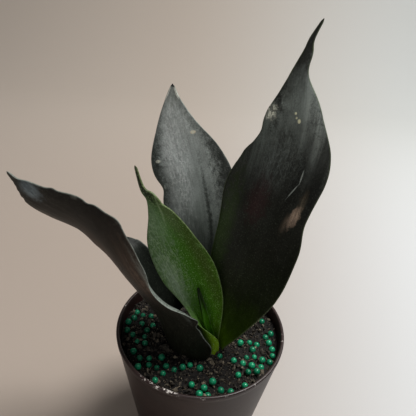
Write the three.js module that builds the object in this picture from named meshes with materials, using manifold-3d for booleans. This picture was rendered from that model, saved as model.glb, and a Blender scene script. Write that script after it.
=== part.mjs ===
// A small snake plant in a tapered nursery pot, with fertiliser balls on its soil.
// Millimetres, +Z up. The origin is the centre of the pot's underside, X runs across the
// plant's fan of leaves, and +Y is the side the tallest leaves turn their backs to.

import * as THREE from 'three';
import { mergeVertices } from 'three/addons/utils/BufferGeometryUtils.js';
import Module from 'manifold-3d';

const wasm = await Module();
wasm.setup();

// ---------------------------------------------------------------------------------------
// Sizes
// ---------------------------------------------------------------------------------------

const GAP = 0.3; // left between any two pieces that touch in the real plant

// Pot
const POT_HEIGHT = 80;
const POT_RIM_DIAMETER = 90;
const POT_BASE_DIAMETER = 66;
const POT_WALL = 1.2;
const POT_FLOOR = 1.6;
const LIP_HEIGHT = 2.2; // the thickened band at the rim
const LIP_THICKNESS = 1.7;
const DRAIN_COUNT = 6;
const DRAIN_DIAMETER = 7;
const DRAIN_INSET = 8; // from the base's edge to a hole's centre

// Soil
const SOIL_BELOW_RIM = 7;
const SOIL_SWELL = 0.7; // how far the surface rises and falls

// Plant
const PLANT_HEIGHT = 160; // soil to the tip of the tallest leaf
const CROWN_X = 4; // where the leaves rise, from the pot's axis
const CROWN_Y = -8;
const MIDRIB_THICKNESS = 2.6;
const YOUNG_THICKNESS = 2.2; // the young leaf's midrib
const SPEAR_THICKNESS = 1.1;
const MARGIN_THICKNESS = 0.9;
const TIP_THICKNESS = 0.8;
const BASE_SWELL = 1.3; // a leaf's base is this many times as thick as its middle
const LEFT_LEAF_WIDTH = 46;
const BACK_LEAF_WIDTH = 44;
const RIGHT_LEAF_WIDTH = 43.6;
const YOUNG_LEAF_WIDTH = 30.5;
const SPEAR_LEAF_WIDTH = 4.6;

// Rhizome and roots
const RHIZOME_LENGTH = 30;
const RHIZOME_WIDTH = 19;
const RHIZOME_DEPTH = 15;
const RHIZOME_BELOW_SOIL = 9; // from the soil's surface to the rhizome's top
const LEAF_INTO_RHIZOME = 1; // how far the longest leaf bases reach below that
const ROOT_DIAMETER = 2;
const ROOT_REACH = 15; // from the pot's axis to a root's end
const ROOT_END_HEIGHT = 15; // of a root's end above the pot's floor

// Fertiliser balls
const PRILL_DIAMETER = 3.6;

// ---------------------------------------------------------------------------------------
// Leaf shapes
// ---------------------------------------------------------------------------------------

// Each row is one cross-section, from the base to the tip:
//   x, y, z of the midrib, from the crown, on a plant of DRAWN_HEIGHT whose longest leaf
//   bases reach DRAWN_DEPTH into the soil, round a young leaf of DRAWN_YOUNG_WIDTH
//   azimuth and elevation, in degrees, of the way the upper face looks (0, 0 is -Y)
//   left and right half-widths along the surface
//   left and right cupping angles, in degrees, between the midrib and the margin
const DRAWN_HEIGHT = 160;
const DRAWN_DEPTH = 10;
const DRAWN_YOUNG_WIDTH = 30.5;

const LEFT_LEAF = [
  [-12, -3, -10, 150, -5, 10, 14, 45, 75],
  [-14, -6.5, 1, 148, -5, 17.5, 18, 45, 85],
  [-18, -7, 12, 142, 3, 20.5, 24, 42, 98],
  [-24.6, -5, 24.5, 132, 10, 18, 26, 30, 104],
  [-34, -4, 37.5, 125, 15, 18, 26, 33, 98],
  [-43.6, -4, 51.3, 125, 16, 20.5, 25.5, 39, 80],
  [-52.8, -1.6, 62.3, 140, 16, 20, 22.5, 31, 54],
  [-64.2, 4.2, 69.4, 148, 18, 17, 18, 17, 29],
  [-77, 6, 74.5, 153, 17, 12.5, 13.8, 16, 15],
  [-87, 7, 80, 161, 9, 7.5, 7, 10, 8],
  [-93, 9.5, 84, 164, 2, 2.5, 1.5, 10, 10],
  [-96.5, 10, 88.5, 165, 0, 0.5, 0.5, 10, 10],
];
const BACK_LEAF = [
  [1, 9, -10, -4, 15, 5, 5, 45, 45],
  [-0.5, 11, 2, -4, 15, 7, 7, 42, 42],
  [-3.5, 16, 19, -5, 15, 12, 11.5, 33, 33],
  [-6, 23, 38, -9, 13, 15, 17, 25, 25],
  [-8.5, 29.5, 58, -14, 11, 17.5, 20, 17, 17],
  [-13, 35.5, 76, -18, 9, 20.5, 23.5, 10, 14],
  [-18.5, 38.5, 92.5, -16, 9, 19.5, 19, 10, 12],
  [-23.5, 40, 107, -14, 9, 11, 10, 10, 12],
  [-26, 40.5, 117.5, -10, 9, 4.5, 4.5, 10, 10],
  [-26.5, 40, 126, -5, 10, 0.5, 0.5, 10, 10],
];
const RIGHT_LEAF = [
  [5, 3, -10, -45, 15, 4.5, 4.5, 60, 60],
  [7, 2.5, 2, -42, 15, 5, 6, 55, 55],
  [11.5, 3, 18, -36, 15, 9.5, 11.5, 44, 44],
  [16, 5, 42, -28, 15, 19, 19.5, 34, 34],
  [20, 9, 65, -28, 15, 21, 22, 24, 28],
  [24, 11.5, 87, -30, 11, 23.3, 20.3, 19, 25],
  [27.5, 13, 107, -28, 7, 16.7, 19.5, 14, 20],
  [28, 13.5, 125, -25, 8, 12, 11, 14, 18],
  [27, 14.5, 139, -18, 10, 4.5, 3.5, 15, 15],
  [28, 15, 148, -16, 10, 1.6, 2.5, 15, 15],
  [29, 15, 153, -16, 10, 1, 1.2, 15, 15],
  [32, 15, 160, -16, 10, 0.5, 0.5, 15, 15],
];
const YOUNG_LEAF = [
  [0.5, 1, -8, 35, 10, 11, 5.5, 180, 85],
  [0.5, 1.5, 6, 29, 15, 14.7, 6.5, 210, 84],
  [-3.5, 5, 26, 3, 19, 11, 11, 66, 51],
  [-12.5, 6.5, 46.5, -13, 18, 15, 15.5, 42, 36],
  [-20.5, 7, 62.5, -21, 16, 13.5, 13.5, 32, 31],
  [-27, 7, 75.5, -22, 16, 6, 8, 25, 27],
  [-31, 5, 83.5, -24, 18, 2, 4, 25, 27],
  [-34.5, 5.5, 88, -18, 20, 1.2, 1.1, 20, 20],
  [-38, 7, 98, -12, 20, 0.5, 0.5, 20, 20],
];
const SPEAR_LEAF = [
  [2.5, -1.5, -6, 20, 10, 1.8, 1.8, 80, 80],
  [2, -1.5, 6, 15, 15, 2.2, 2.2, 80, 80],
  [-0.8, -1, 17, 0, 18, 2.3, 2.3, 70, 70],
  [-3.2, 0, 26, -8, 18, 1.8, 1.8, 60, 60],
  [-5.5, 0.8, 33, -10, 18, 1.1, 1.1, 50, 50],
  [-7, 1.3, 38, -10, 18, 0.4, 0.4, 40, 40],
];

// Where the fertiliser balls lie, from the pot's axis, in a pot of DRAWN_RIM_DIAMETER
const DRAWN_RIM_DIAMETER = 90;
const PRILL_SPOTS = [
  // behind and beside the right leaf
  [22, -6], [27, -4.5], [30.8, -6], [28.5, -9.3], [36, 0], [39, 2.5], [37.5, -3.8], [39, -7.8],
  // right of the crown
  [11, -15], [18.3, -18], [23, -19], [25, -15], [29.2, -14], [33, -16], [27.5, -19.5],
  [32.2, -20], [25.5, -24], [29.8, -23.4], [20.5, -26.2], [37, -16.3], [39, -12.3],
  // along the front
  [4, -35], [2, -38.6], [6, -38.5], [8, -31.5], [12, -35], [16.7, -36.3], [23.5, -32.2],
  [1.3, -23.5], [-3.8, -22.8], [-2, -33.6], [-19.7, -33],
  // front left, below the left leaf's base
  [-29.4, -20.6], [-29.2, -26.6], [-24, -25], [-24.5, -20.8], [-20, -25.5], [-18.4, -19.4],
  [-16.5, -29], [-15.5, -24.6], [-11.3, -26], [-7.2, -24.4],
  // far left, under the left leaf
  [-37, 10.3], [-33.2, 8.5], [-37.8, 6], [-40, 1.8], [-32.7, 2.6], [-26.5, 2.2],
  [-28.5, 8.5], [-39.6, -3.5], [-36, -6.2],
];

// ---------------------------------------------------------------------------------------
// Solids: between three.js geometries and manifold-3d
// ---------------------------------------------------------------------------------------

function solidFrom(geometry) {
  const bare = geometry.clone();
  bare.deleteAttribute('normal');
  bare.deleteAttribute('uv');
  const merged = mergeVertices(bare, 1e-4);
  const index = Array.from(merged.index.array);
  const triangles = [];
  for (let i = 0; i < index.length; i += 3) {
    const [a, b, c] = index.slice(i, i + 3);
    const isPoleSliver = a === b || b === c || c === a;
    if (!isPoleSliver) triangles.push(a, b, c);
  }
  return new wasm.Manifold(new wasm.Mesh({
    numProp: 3,
    vertProperties: new Float32Array(merged.attributes.position.array),
    triVerts: new Uint32Array(triangles),
  }));
}

function geometryFrom(solid) {
  const mesh = solid.getMesh();
  const geometry = new THREE.BufferGeometry();
  geometry.setAttribute('position', new THREE.BufferAttribute(mesh.vertProperties, 3));
  geometry.setIndex(new THREE.BufferAttribute(mesh.triVerts, 1));
  geometry.computeVertexNormals();
  return geometry;
}

const subtractAll = (solid, cutters) => cutters.reduce((rest, cutter) => rest.subtract(cutter), solid);

// A body of revolution about Z from [radius, z] points that start and end on the axis
function turned(profile, segments) {
  const points = profile.map(([radius, z]) => new THREE.Vector2(radius, z));
  return new THREE.LatheGeometry(points, segments).rotateX(Math.PI / 2);
}

// ---------------------------------------------------------------------------------------
// Pot
// ---------------------------------------------------------------------------------------

const rimRadius = POT_RIM_DIAMETER / 2;
const baseRadius = POT_BASE_DIAMETER / 2;
const POT_SEGMENTS = 56;
const HOLE_SEGMENTS = 20;

const outerRadiusAt = (z) => baseRadius + ((rimRadius - baseRadius) * z) / POT_HEIGHT;
const innerRadiusAt = (z) => outerRadiusAt(z) - POT_WALL;

function potSolid() {
  const lipFoot = POT_HEIGHT - LIP_HEIGHT;
  const lipBevel = LIP_THICKNESS / 4;
  const edge = POT_WALL / 2;
  const shell = solidFrom(turned([
    [0, 0],
    [baseRadius - edge, 0],
    [outerRadiusAt(edge), edge],
    [outerRadiusAt(lipFoot - lipBevel), lipFoot - lipBevel],
    [rimRadius, lipFoot],
    [rimRadius, POT_HEIGHT - lipBevel],
    [rimRadius - lipBevel, POT_HEIGHT],
    [rimRadius - LIP_THICKNESS + lipBevel, POT_HEIGHT],
    [rimRadius - LIP_THICKNESS, POT_HEIGHT - lipBevel],
    [innerRadiusAt(lipFoot - LIP_THICKNESS), lipFoot - LIP_THICKNESS],
    [innerRadiusAt(POT_FLOOR), POT_FLOOR],
    [0, POT_FLOOR],
  ], POT_SEGMENTS));
  const holes = [];
  for (let i = 0; i < DRAIN_COUNT; i += 1) {
    const angle = (2 * Math.PI * (i + 0.5)) / DRAIN_COUNT;
    const reach = baseRadius - DRAIN_INSET;
    const drill = [DRAIN_DIAMETER / 2, DRAIN_DIAMETER / 2, 3 * POT_FLOOR, HOLE_SEGMENTS];
    const hole = new THREE.CylinderGeometry(...drill);
    hole.rotateX(Math.PI / 2);
    hole.translate(reach * Math.cos(angle), reach * Math.sin(angle), POT_FLOOR / 2);
    holes.push(solidFrom(hole));
  }
  return subtractAll(shell, holes);
}

// ---------------------------------------------------------------------------------------
// Leaves
// ---------------------------------------------------------------------------------------

const soilLevel = POT_HEIGHT - SOIL_BELOW_RIM;
const crown = new THREE.Vector3(CROWN_X, CROWN_Y, soilLevel);
const ROWS_PER_STATION = 3;
const COLUMNS = 10; // across one face

// Above the soil the leaves follow the plant's height, below it the rhizome's depth, and the
// outer leaves stand off from the young leaf that they sheathe
const grown = PLANT_HEIGHT / DRAWN_HEIGHT;
const sunk = (RHIZOME_BELOW_SOIL + LEAF_INTO_RHIZOME) / DRAWN_DEPTH;
const makeRoom = (YOUNG_LEAF_WIDTH - DRAWN_YOUNG_WIDTH) / 4;

// Uniform Catmull-Rom through a list of numbers, its ends carried on by reflection
function smooth(values, t) {
  const last = values.length - 1;
  const i = Math.min(Math.floor(t * last), last - 1);
  const w = t * last - i;
  const b = values[i];
  const c = values[i + 1];
  const a = i > 0 ? values[i - 1] : 2 * b - c;
  const d = i + 2 <= last ? values[i + 2] : 2 * c - b;
  const slopeB = (c - a) / 2;
  const slopeC = (d - b) / 2;
  return ((2 * b - 2 * c + slopeB + slopeC) * w + (3 * c - 3 * b - 2 * slopeB - slopeC)) * w * w
    + slopeB * w + b;
}

// One cross-section of a leaf at t, from 0 at its base to 1 at its tip
function crossSection(leaf, t) {
  const column = (k) => leaf.stations.map((station) => station[k]);
  const heights = column(2).map((z) => z * (z < 0 ? sunk : grown));
  const place = (u) => new THREE.Vector3(
    smooth(column(0), u) * grown,
    smooth(column(1), u) * grown,
    smooth(heights, u),
  ).addScaledVector(leaf.outward, makeRoom).add(crown);
  const step = 1e-3;
  const along = place(Math.min(t + step, 1)).sub(place(Math.max(t - step, 0))).normalize();
  const azimuth = THREE.MathUtils.degToRad(smooth(column(3), t));
  const elevation = THREE.MathUtils.degToRad(smooth(column(4), t));
  const face = new THREE.Vector3(
    Math.sin(azimuth) * Math.cos(elevation),
    -Math.cos(azimuth) * Math.cos(elevation),
    Math.sin(elevation),
  );
  face.addScaledVector(along, -face.dot(along)).normalize();
  const right = new THREE.Vector3().crossVectors(along, face);
  const drawnWidth = Math.max(...leaf.stations.map((station) => station[5] + station[6]));
  const widen = leaf.width / drawnWidth;
  return {
    centre: place(t),
    along,
    face,
    right,
    halves: [smooth(column(5), t) * widen, smooth(column(6), t) * widen],
    cups: [smooth(column(7), t), smooth(column(8), t)].map(THREE.MathUtils.degToRad),
  };
}

// The point and the upper face's normal at v across the section, from -1 to 1
function acrossSection(section, v, grow) {
  const side = v < 0 ? 0 : 1;
  const half = section.halves[side];
  const curvature = section.cups[side] / half;
  const run = Math.abs(v) * (half + grow);
  const turn = run * curvature;
  const sign = Math.sign(v);
  const point = section.centre.clone()
    .addScaledVector(section.right, (sign * Math.sin(turn)) / curvature)
    .addScaledVector(section.face, (1 - Math.cos(turn)) / curvature);
  const normal = section.face.clone().multiplyScalar(Math.cos(turn))
    .addScaledVector(section.right, -sign * Math.sin(turn));
  return { point, normal };
}

// A leaf's thickness: fullest at the midrib and the base, thin at the margins and the tip
function thicknessAt(leaf, t, v) {
  const lengthwise = THREE.MathUtils.lerp(BASE_SWELL, 1, THREE.MathUtils.smoothstep(t, 0, 0.3));
  const towardsTip = THREE.MathUtils.smoothstep(t, 0.6, 1);
  const middle = THREE.MathUtils.lerp(leaf.thickness * lengthwise, TIP_THICKNESS, towardsTip);
  const margin = Math.min(MARGIN_THICKNESS, middle);
  return margin + (middle - margin) * (1 - v * v);
}

// The closed solid of a leaf; grow swells it on every side, for cutting clearances
function leafSolid(leaf, grow = 0) {
  const rows = (leaf.stations.length - 1) * ROWS_PER_STATION;
  const positions = [];
  const ringSize = 2 * (COLUMNS + 1);
  for (let i = 0; i <= rows; i += 1) {
    const t = i / rows;
    const section = crossSection(leaf, t);
    if (i === 0) section.centre.addScaledVector(section.along, -grow);
    if (i === rows) section.centre.addScaledVector(section.along, grow);
    for (let j = 0; j < ringSize; j += 1) {
      const isUpper = j <= COLUMNS;
      const k = isUpper ? j : ringSize - 1 - j;
      const v = (2 * k) / COLUMNS - 1;
      const { point, normal } = acrossSection(section, v, grow);
      const lift = thicknessAt(leaf, t, v) / 2 + grow;
      point.addScaledVector(normal, isUpper ? lift : -lift);
      positions.push(...point.toArray());
    }
  }
  const index = [];
  for (let i = 0; i < rows; i += 1) {
    for (let j = 0; j < ringSize; j += 1) {
      const next = (j + 1) % ringSize;
      const a = i * ringSize + j;
      const b = i * ringSize + next;
      index.push(a, b, b + ringSize, a, b + ringSize, a + ringSize);
    }
  }
  const tip = rows * ringSize;
  for (let j = 0; j < COLUMNS; j += 1) {
    const across = ringSize - 1 - j;
    index.push(j, across, j + 1, j + 1, across, across - 1);
    index.push(tip + j, tip + j + 1, tip + across, tip + j + 1, tip + across - 1, tip + across);
  }
  const geometry = new THREE.BufferGeometry();
  geometry.setAttribute('position', new THREE.Float32BufferAttribute(positions, 3));
  geometry.setIndex(index);
  return solidFrom(geometry);
}

const toward = (x, y) => new THREE.Vector3(x, y, 0);

const leaves = {
  leaf_young: {
    stations: YOUNG_LEAF,
    width: YOUNG_LEAF_WIDTH,
    thickness: YOUNG_THICKNESS,
    outward: toward(0, 0),
  },
  leaf_spear: {
    stations: SPEAR_LEAF,
    width: SPEAR_LEAF_WIDTH,
    thickness: SPEAR_THICKNESS,
    outward: toward(0, 0),
  },
  leaf_right: {
    stations: RIGHT_LEAF,
    width: RIGHT_LEAF_WIDTH,
    thickness: MIDRIB_THICKNESS,
    outward: toward(1, 0),
  },
  leaf_left: {
    stations: LEFT_LEAF,
    width: LEFT_LEAF_WIDTH,
    thickness: MIDRIB_THICKNESS,
    outward: toward(-1, 0),
  },
  leaf_back: {
    stations: BACK_LEAF,
    width: BACK_LEAF_WIDTH,
    thickness: MIDRIB_THICKNESS,
    outward: toward(0, 1),
  },
};

// ---------------------------------------------------------------------------------------
// Rhizome and roots
// ---------------------------------------------------------------------------------------

const rhizomeCentre = crown.clone();
rhizomeCentre.z -= RHIZOME_BELOW_SOIL + RHIZOME_DEPTH / 2;
const ROOT_DIRECTIONS = [20, 85, 140, 200, 265, 320]; // degrees about Z
const ROOT_SIDES = 6;
const ROOT_STEPS = 6;

function rootSolid(direction, grow) {
  const angle = THREE.MathUtils.degToRad(direction);
  const outward = new THREE.Vector3(Math.cos(angle), Math.sin(angle), 0);
  const start = rhizomeCentre.clone().addScaledVector(outward, RHIZOME_WIDTH / 4);
  const end = outward.clone().multiplyScalar(ROOT_REACH).setZ(POT_FLOOR + ROOT_END_HEIGHT - grow);
  const bend = start.clone().lerp(end, 0.5).addScaledVector(outward, RHIZOME_WIDTH / 5);
  const path = new THREE.QuadraticBezierCurve3(start, bend, end);
  const circle = new THREE.Shape();
  for (let i = 0; i < ROOT_SIDES; i += 1) {
    const around = (2 * Math.PI * i) / ROOT_SIDES;
    const radius = ROOT_DIAMETER / 2 + grow;
    const corner = [radius * Math.cos(around), radius * Math.sin(around)];
    if (i === 0) circle.moveTo(...corner);
    else circle.lineTo(...corner);
  }
  return solidFrom(new THREE.ExtrudeGeometry(circle, { steps: ROOT_STEPS, extrudePath: path }));
}

function rhizomeSolid(grow) {
  const [around, down] = [18, 10];
  const body = new THREE.SphereGeometry(1, around, down);
  body.scale(RHIZOME_LENGTH / 2 + grow, RHIZOME_WIDTH / 2 + grow, RHIZOME_DEPTH / 2 + grow);
  body.translate(...rhizomeCentre.toArray());
  return ROOT_DIRECTIONS.reduce(
    (solid, direction) => solid.add(rootSolid(direction, grow)),
    solidFrom(body),
  );
}

// ---------------------------------------------------------------------------------------
// Soil
// ---------------------------------------------------------------------------------------

const SOIL_SEGMENTS = 40;
const SOIL_RINGS = 10;

// The soil's surface: low swells across the pot and a slight heap round the crown
function soilHeight(x, y) {
  const swell = 0.5 * Math.sin(x / 7 + 1.3) * Math.cos(y / 9)
    + 0.3 * Math.sin(x / 4.1 - y / 5.3)
    + 0.2 * Math.cos(y / 3.7 + x / 8);
  return soilLevel + SOIL_SWELL * swell;
}

function soilBlock() {
  const floor = POT_FLOOR + GAP;
  const edge = innerRadiusAt(soilLevel) - GAP;
  const profile = [[0, floor], [innerRadiusAt(floor) - GAP, floor], [edge, soilLevel]];
  for (let ring = SOIL_RINGS - 1; ring >= 0; ring -= 1) {
    profile.push([(edge * ring) / SOIL_RINGS, soilLevel]);
  }
  const block = turned(profile, SOIL_SEGMENTS);
  const position = block.attributes.position;
  for (let i = 0; i < position.count; i += 1) {
    const isOnTop = position.getZ(i) > soilLevel - 1e-3;
    if (isOnTop) position.setZ(i, soilHeight(position.getX(i), position.getY(i)));
  }
  return solidFrom(block);
}

// ---------------------------------------------------------------------------------------
// Fertiliser balls
// ---------------------------------------------------------------------------------------

const prillRadius = PRILL_DIAMETER / 2;
const SETTLING_ROUNDS = 300;
const [PRILL_AROUND, PRILL_DOWN] = [7, 5]; // a ball's facets

// A ball rests on the highest soil under it: at its centre or on a ring round that
function restingHeight(x, y) {
  const ring = prillRadius / Math.SQRT2;
  let highest = soilHeight(x, y);
  for (let angle = 0; angle < 2 * Math.PI; angle += Math.PI / 4) {
    const height = soilHeight(x + ring * Math.cos(angle), y + ring * Math.sin(angle));
    highest = Math.max(highest, height);
  }
  return highest + prillRadius + GAP;
}

// Points all over the lower part of the leaves, with how far a ball's centre stays from each
function leafSamples() {
  const samples = [];
  const [lowerPart, alongStep, acrossStep] = [0.4, 0.01, 0.1];
  for (const leaf of Object.values(leaves)) {
    for (let t = 0; t < lowerPart; t += alongStep) {
      const section = crossSection(leaf, t);
      for (let v = -1; v <= 1; v += acrossStep) {
        const { point } = acrossSection(section, v, 0);
        if (Math.abs(point.z - soilLevel) < 4 * PRILL_DIAMETER) {
          samples.push({ point, keepOut: thicknessAt(leaf, t, v) / 2 + prillRadius + 2 * GAP });
        }
      }
    }
  }
  return samples;
}

// Nudge the balls apart, off the leaves and in from the wall until nothing touches
function settledPrills() {
  const spread = POT_RIM_DIAMETER / DRAWN_RIM_DIAMETER;
  const centres = PRILL_SPOTS.map(([x, y]) => new THREE.Vector3(x * spread, y * spread, 0));
  const samples = leafSamples();
  const pitch = PRILL_DIAMETER + GAP;
  const lean = new THREE.Vector3();
  for (let round = 0; round < SETTLING_ROUNDS; round += 1) {
    for (const centre of centres) {
      centre.z = restingHeight(centre.x, centre.y);
      for (const other of centres) {
        lean.subVectors(centre, other).setZ(0);
        const overlap = pitch - lean.length();
        if (other !== centre && overlap > 0) centre.addScaledVector(lean.normalize(), overlap / 2);
      }
      for (const { point, keepOut } of samples) {
        lean.subVectors(centre, point);
        const overlap = keepOut - lean.length();
        if (overlap > 0) centre.addScaledVector(lean.setZ(0).normalize(), overlap);
      }
      const reach = innerRadiusAt(centre.z - prillRadius) - prillRadius - GAP;
      const pullIn = Math.min(1, reach / Math.hypot(centre.x, centre.y));
      centre.x *= pullIn;
      centre.y *= pullIn;
      centre.z = restingHeight(centre.x, centre.y);
    }
  }
  return centres;
}

// ---------------------------------------------------------------------------------------
// Assembly
// ---------------------------------------------------------------------------------------

const group = new THREE.Group();

function place(name, geometry, color, roughness) {
  const mesh = new THREE.Mesh(
    geometry,
    new THREE.MeshStandardMaterial({ color, roughness, metalness: 0 }),
  );
  mesh.name = name;
  group.add(mesh);
  return mesh;
}

const leafColours = {
  leaf_young: 0x3f5f1c,
  leaf_spear: 0x4f6f20,
  leaf_right: 0x2b3220,
  leaf_left: 0x3a3834,
  leaf_back: 0x414744,
};

place('pot', geometryFrom(potSolid()), 0x3d3a3d, 0.45);

// Where two bases crowd each other, the later leaf in the list gives way to the earlier ones
const grownLeaves = [];
for (const [name, leaf] of Object.entries(leaves)) {
  place(name, geometryFrom(subtractAll(leafSolid(leaf), grownLeaves)), leafColours[name], 0.5);
  grownLeaves.push(leafSolid(leaf, GAP));
}

place('rhizome', geometryFrom(subtractAll(rhizomeSolid(0), grownLeaves)), 0xb58b5a, 0.8);
const soil = subtractAll(soilBlock(), [...grownLeaves, rhizomeSolid(GAP)]);
place('soil', geometryFrom(soil), 0x2a211b, 0.95);

settledPrills().forEach((centre, i) => {
  const name = `prill_${String(i + 1).padStart(2, '0')}`;
  const ball = place(name, new THREE.SphereGeometry(prillRadius, PRILL_AROUND, PRILL_DOWN), 0x15735a, 0.35);
  ball.position.copy(centre);
});

export default group;
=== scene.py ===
# %% [markdown]
# # A potted snake plant
# The model is already designed to scale: a pot, soil, a rhizome, five leaves and a few dozen
# fertiliser balls. This lesson dresses that frame. Each plain solid is either kept and given
# a finish, or replaced by a finer surface that is worked out with numpy in the same place.

import math

import bmesh
import bpy
import numpy as np
from mathutils import Matrix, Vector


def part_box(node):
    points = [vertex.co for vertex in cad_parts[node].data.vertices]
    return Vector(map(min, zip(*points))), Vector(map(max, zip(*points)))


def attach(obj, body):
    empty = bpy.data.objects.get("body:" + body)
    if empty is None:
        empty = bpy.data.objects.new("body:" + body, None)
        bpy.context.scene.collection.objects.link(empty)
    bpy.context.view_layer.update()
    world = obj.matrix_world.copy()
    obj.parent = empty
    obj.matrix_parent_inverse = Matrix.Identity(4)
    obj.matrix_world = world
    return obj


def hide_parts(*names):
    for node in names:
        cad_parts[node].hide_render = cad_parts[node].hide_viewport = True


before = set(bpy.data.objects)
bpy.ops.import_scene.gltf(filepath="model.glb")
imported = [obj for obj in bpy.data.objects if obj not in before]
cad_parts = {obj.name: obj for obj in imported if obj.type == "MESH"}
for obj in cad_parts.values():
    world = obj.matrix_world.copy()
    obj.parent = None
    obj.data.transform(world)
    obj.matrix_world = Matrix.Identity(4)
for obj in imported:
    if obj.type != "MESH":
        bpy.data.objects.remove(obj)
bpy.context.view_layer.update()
MM = 0.001
print("nodes in the frame:", len(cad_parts))

# %% [markdown]
# ## Where things are
# The frame answers questions about place: the pot's node gives the rim and the height, and
# the soil's node gives the soil level. Everything below is in millimetres and is turned into
# metres once, when a mesh is made.

# %% Measure the frame
def node_box(name):
    """A node's lowest and highest corners, in millimetres."""
    low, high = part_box(name)
    return np.array(low) / MM, np.array(high) / MM


POT_WALL = 1.2
POT_FLOOR = 1.6
LIP_HEIGHT = 2.2
LIP_THICKNESS = 1.7
BASE_RADIUS = 33.0
SOIL_BELOW_RIM = 7.0
pot_low, pot_high = node_box("pot")
POT_HEIGHT = pot_high[2]
RIM_RADIUS = (pot_high[0] - pot_low[0]) / 2
SOIL_LEVEL = POT_HEIGHT - SOIL_BELOW_RIM
CROWN = np.array([4.0, -8.0, SOIL_LEVEL])
balls = sorted(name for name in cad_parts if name.startswith("prill_"))
print("rim radius", round(RIM_RADIUS, 2), "soil level", round(SOIL_LEVEL, 2), "balls", len(balls))


# %% [markdown]
# ## Grids into meshes
# A surface of two parameters is an array of points with one row for each step of the first
# parameter and one column for each step of the second. The faces need no geometry at all:
# they are the same pattern of indices whatever the shape, so one function joins any grid.

# %% Mesh helpers
def grid_quads(rows, columns, around):
    """Corner indices of the quads between neighbouring rows and columns of a grid.
    With around, the last column is joined to the first."""
    seams = columns if around else columns - 1
    i, j = np.meshgrid(np.arange(rows - 1), np.arange(seams), indexing="ij")
    k = (j + 1) % columns
    here, below = i * columns, (i + 1) * columns
    return np.stack([here + j, here + k, below + k, below + j], -1).reshape(-1, 4)


def pole_fan(ring, pole, flip):
    """Triangles from a ring of vertices to one pole vertex."""
    ahead = np.roll(ring, -1)
    pair = (ahead, ring) if flip else (ring, ahead)
    return np.stack([*pair, np.full_like(ring, pole)], -1)


def closed_tube(rows, columns, mirrored=False):
    """The faces of a tube of rings whose two poles are the vertices after it: quads between
    the rings, and a fan of triangles from each end ring to its pole."""
    quads = grid_quads(rows, columns, True)
    first, last = np.arange(columns), (rows - 1) * columns + np.arange(columns)
    fans = np.vstack([
        pole_fan(first, rows * columns, not mirrored),
        pole_fan(last, rows * columns + 1, mirrored),
    ])
    return [quads[:, ::-1] if mirrored else quads, fans]


def make_object(name, points, faces, values=None, smooth=True):
    """An object with its place in its mesh. points is (n, 3) in millimetres, faces is a list
    of index arrays, one for each number of corners, and values holds named vertex numbers."""
    mesh = bpy.data.meshes.new(name)
    mesh.from_pydata((points * MM).tolist(), [], [f for part in faces for f in part.tolist()])
    mesh.polygons.foreach_set("use_smooth", np.full(len(mesh.polygons), smooth))
    for key, value in (values or {}).items():
        value = np.asarray(value, np.float32)
        kind = "FLOAT_VECTOR" if value.ndim == 2 else "FLOAT"
        layer = mesh.attributes.new(key, kind, "POINT")
        layer.data.foreach_set("vector" if value.ndim == 2 else "value", value.ravel())
    mesh.validate()
    piece = bpy.data.objects.new(name, mesh)
    bpy.context.scene.collection.objects.link(piece)
    corners = sum(len(part) * (part.shape[1] - 2) for part in faces)
    print(name, len(points), "points", corners, "triangles")
    return piece


def unit(vectors):
    """Each vector divided by its own length."""
    return vectors / np.linalg.norm(vectors, axis=-1, keepdims=True)


def turns(count):
    """Even angles round a circle, in radians."""
    return np.arange(count) * 2 * math.pi / count


def ease(x, low, high):
    """0 below low, 1 above high, and a smooth step between them."""
    u = np.clip((x - low) / (high - low), 0, 1)
    return u * u * (3 - 2 * u)


# %% [markdown]
# ## Noise without a table
# Natural surfaces need irregularity that is the same on each run. A hash of the whole-number
# lattice gives each lattice point its own fixed number, and blending those numbers across
# each cell gives a smooth random surface. Several sizes of it added together give crumbs.

# %% Noise
def lattice(i, j, seed):
    """A fixed number from 0 to 1 for each whole i, j and seed, by the sine hash."""
    h = np.sin(i * 127.1 + j * 311.7 + seed * 74.7) * 43758.5453
    return h - np.floor(h)


def noise(x, y, seed):
    """Lattice numbers blended across each cell by a smooth step, from -1 to 1."""
    i, j = np.floor(x), np.floor(y)
    u, v = ease(x - i, 0, 1), ease(y - j, 0, 1)
    low = lattice(i, j, seed) * (1 - u) + lattice(i + 1, j, seed) * u
    high = lattice(i, j + 1, seed) * (1 - u) + lattice(i + 1, j + 1, seed) * u
    return 2 * (low * (1 - v) + high * v) - 1


def layered(x, y, seed, layers):
    """Noise plus half of it at twice the frequency, plus a quarter at four times, and so on."""
    return sum(noise(x * 2**k, y * 2**k, seed + k) / 2**k for k in range(layers))


# %% [markdown]
# ## Shader arithmetic
# A node tree is easier to read as formulas. `Value` wraps an output socket and overloads the
# arithmetic operators, so `1 - mask * 0.5` adds its own Math nodes. Every other node comes
# from one method, which takes the node's type, its settings and the values of its sockets.

# %% Shader helpers
class Value:
    """A number or colour flowing through a material's nodes."""

    def __init__(self, tree, socket):
        self.tree, self.socket = tree, socket

    def output(self, name):
        """Another output of the same node."""
        return Value(self.tree, self.socket.node.outputs[name])

    def math(self, operation, *others):
        return self.tree.add("Math", {"operation": operation}, dict(enumerate((self, *others))))

    def __add__(self, other):
        return self.math("ADD", other)

    def __sub__(self, other):
        return self.math("SUBTRACT", other)

    def __mul__(self, other):
        return self.math("MULTIPLY", other)

    def __truediv__(self, other):
        return self.math("DIVIDE", other)

    def __rsub__(self, other):
        return (self * -1).math("ADD", other)

    __radd__ = __add__
    __rmul__ = __mul__

    def clipped(self, low=0.0, high=1.0):
        return self.math("MINIMUM", high).math("MAXIMUM", low)


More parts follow.
